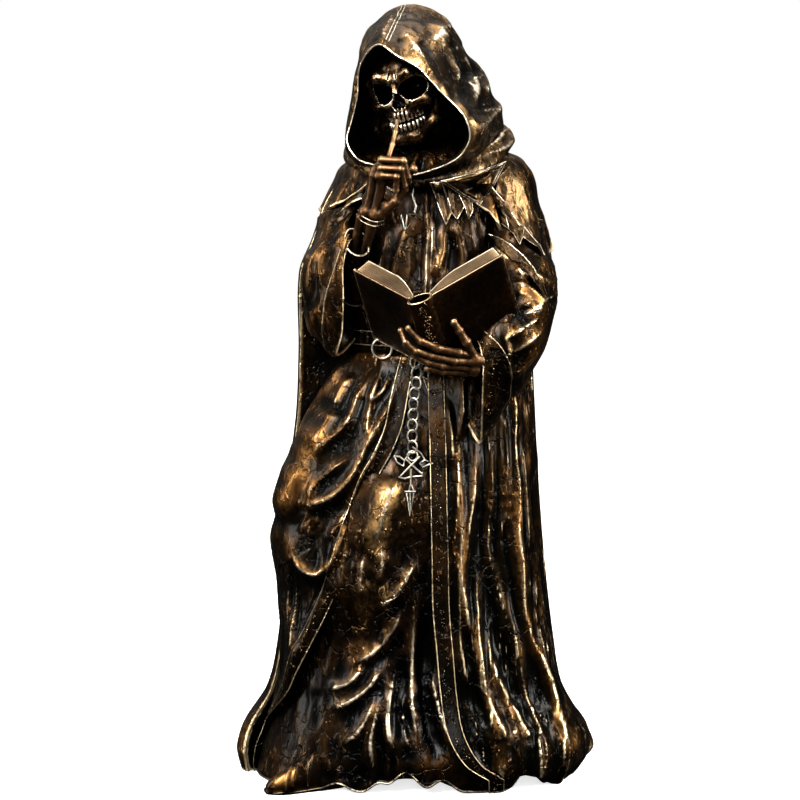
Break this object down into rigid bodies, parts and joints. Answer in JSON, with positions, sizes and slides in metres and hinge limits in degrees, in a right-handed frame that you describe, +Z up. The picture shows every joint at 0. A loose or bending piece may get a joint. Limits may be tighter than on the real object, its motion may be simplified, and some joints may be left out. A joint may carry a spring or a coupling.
{
  "type": "hooded skeleton figurine",
  "caption": "Hooded, robed skeleton figurine in antique bronze, one finger raised to its teeth, an open book held in the other hand; stands freely as an ornament.",
  "frame": {"origin": "middle of the footprint at the underside the figure stands on", "axes": "+Z up; the figure faces -Y; +X to the viewer's right"},
  "size_m": [0.1406, 0.1152, 0.2999],
  "materials": {
    "bronze_patina": "antique cold-cast bronze: near-black in the recesses, dark brown over the cloth, rubbed bright gold-bronze on the high points and edges"
  },
  "bodies": {
    "root": {"figurine": "bronze_patina"}
  },
  "joints": []
}
